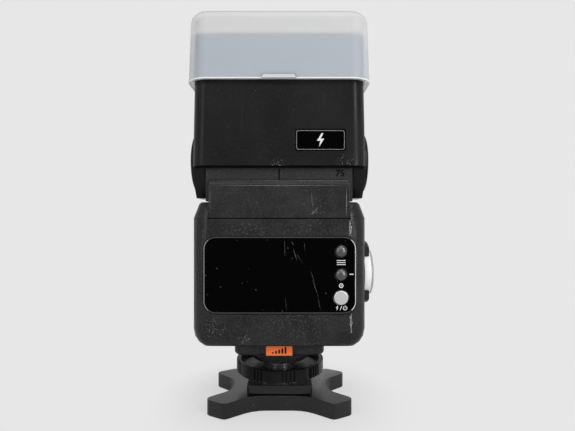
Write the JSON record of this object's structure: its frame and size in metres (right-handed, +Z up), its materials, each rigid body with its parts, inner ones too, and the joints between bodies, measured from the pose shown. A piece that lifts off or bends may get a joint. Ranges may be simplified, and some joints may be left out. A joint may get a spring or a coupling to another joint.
{
  "type": "camera speedlight flash",
  "caption": "Compact camera flash with tilting head, frosted diffuser cap, glossy control panel, side dial and magnetic radio foot, standing in a small four-legged shoe stand.",
  "frame": {"origin": "on the ground under the middle of the stand's shoe", "axes": "+Z up, -Y towards the control panel side, +X to the dial side"},
  "size_m": [0.0716, 0.0484, 0.1533],
  "materials": {
    "black_plastic": "fine grain, satin",
    "grey_plastic": "satin",
    "gloss_black": "polished",
    "silver": "bright satin",
    "steel": "satin",
    "brass": "plated contacts",
    "orange": "printed label",
    "frosted": "frosted translucent",
    "clear": "clear, ridged",
    "dark_red": "polished, dark red",
    "circuit_board": "solder mask",
    "battery_wrap": "shrink wrap",
    "rubber": "matte"
  },
  "bodies": {
    "stand": {"stand_base": "black_plastic", "stand_shoe": "black_plastic"},
    "module": {"module_housing": "black_plastic", "module_lid": "grey_plastic", "module_board": "circuit_board", "module_magnet_left": "steel", "module_magnet_right": "steel", "contact_block": "brass", "shoe_foot": "steel", "foot_contacts": "brass", "module_label": "orange"},
    "lock_ring": {"lock_ring": "black_plastic"},
    "clamp_washer": {"clamp_washer": "steel"},
    "flash_body": {"rear_shell": "black_plastic", "front_shell": "black_plastic", "display_window": "gloss_black", "display_module": "grey_plastic", "control_board": "circuit_board", "battery_pack": "battery_wrap", "main_capacitor": "gloss_black", "power_board": "circuit_board", "usb_socket": "steel", "af_window": "dark_red", "af_lamp_module": "grey_plastic", "dial_guard": "black_plastic", "dial_encoder": "grey_plastic", "contact_plate": "steel", "neck_cover": "grey_plastic", "hinge_block_left": "grey_plastic", "hinge_block_right": "grey_plastic", "housing_screw_1": "steel", "housing_screw_2": "steel", "housing_screw_3": "steel", "housing_screw_4": "steel"},
    "menu_button": {"menu_button": "grey_plastic"},
    "set_button": {"set_button": "grey_plastic"},
    "power_button": {"power_button": "silver"},
    "dial": {"dial_knob": "silver", "dial_cap": "black_plastic", "dial_shaft": "steel"},
    "port_cover": {"port_cover": "rubber"},
    "head": {"head_rear_shell": "black_plastic", "head_front_shell": "black_plastic", "hinge_arm_left": "black_plastic", "hinge_arm_right": "black_plastic", "tilt_axle_left": "steel", "tilt_axle_right": "steel", "hinge_cap_left": "black_plastic", "hinge_cap_right": "black_plastic", "name_plate": "gloss_black", "lens_bezel": "black_plastic", "fresnel_lens": "clear", "reflector": "silver", "flash_tube": "clear", "tube_holder_left": "grey_plastic", "tube_holder_right": "grey_plastic", "trigger_board": "circuit_board"},
    "diffuser_cap": {"diffuser_cap": "frosted"}
  },
  "joints": [
    {"name": "foot_slide", "type": "slide", "parent": "stand", "child": "module", "axis": [0, 1, 0], "range_m": [0, 0.022]},
    {"name": "lock_ring_turn", "type": "hinge", "parent": "module", "child": "lock_ring", "pos_m": [0, 0, 0.0154], "axis": [0, 0, 1], "range_deg": [-270, 0]},
    {"name": "clamp_drop", "type": "slide", "parent": "module", "child": "clamp_washer", "axis": [0, 0, -1], "range_m": [0, 0.0021]},
    {"name": "flash_lift", "type": "slide", "parent": "module", "child": "flash_body", "axis": [0, 0, 1], "range_m": [0, 0.012]},
    {"name": "head_tilt", "type": "hinge", "parent": "flash_body", "child": "head", "pos_m": [0, 0, 0.0987], "axis": [-1, 0, 0], "range_deg": [0, 90]},
    {"name": "cap_lift", "type": "slide", "parent": "head", "child": "diffuser_cap", "axis": [0, 0, 1], "range_m": [0, 0.022]},
    {"name": "menu_button_press", "type": "slide", "parent": "flash_body", "child": "menu_button", "axis": [0, 1, 0], "range_m": [0, 0.0006], "stiffness_N_per_m": 400, "springref_m": -0.0004},
    {"name": "set_button_press", "type": "slide", "parent": "flash_body", "child": "set_button", "axis": [0, 1, 0], "range_m": [0, 0.0006], "stiffness_N_per_m": 400, "springref_m": -0.0004},
    {"name": "power_button_press", "type": "slide", "parent": "flash_body", "child": "power_button", "axis": [0, 1, 0], "range_m": [0, 0.0006], "stiffness_N_per_m": 400, "springref_m": -0.0004},
    {"name": "dial_turn", "type": "hinge", "parent": "flash_body", "child": "dial", "pos_m": [0.0335, -0.008, 0.0546], "axis": [1, 0, 0], "continuous": true},
    {"name": "port_flap", "type": "hinge", "parent": "flash_body", "child": "port_cover", "pos_m": [-0.03265, 0.0159, 0.0512], "axis": [0, 0, -1], "range_deg": [0, 110]}
  ],
  "couplings": [
    {"joint": "clamp_drop", "follows": "lock_ring_turn", "m_per_rad": -0.00042}
  ]
}
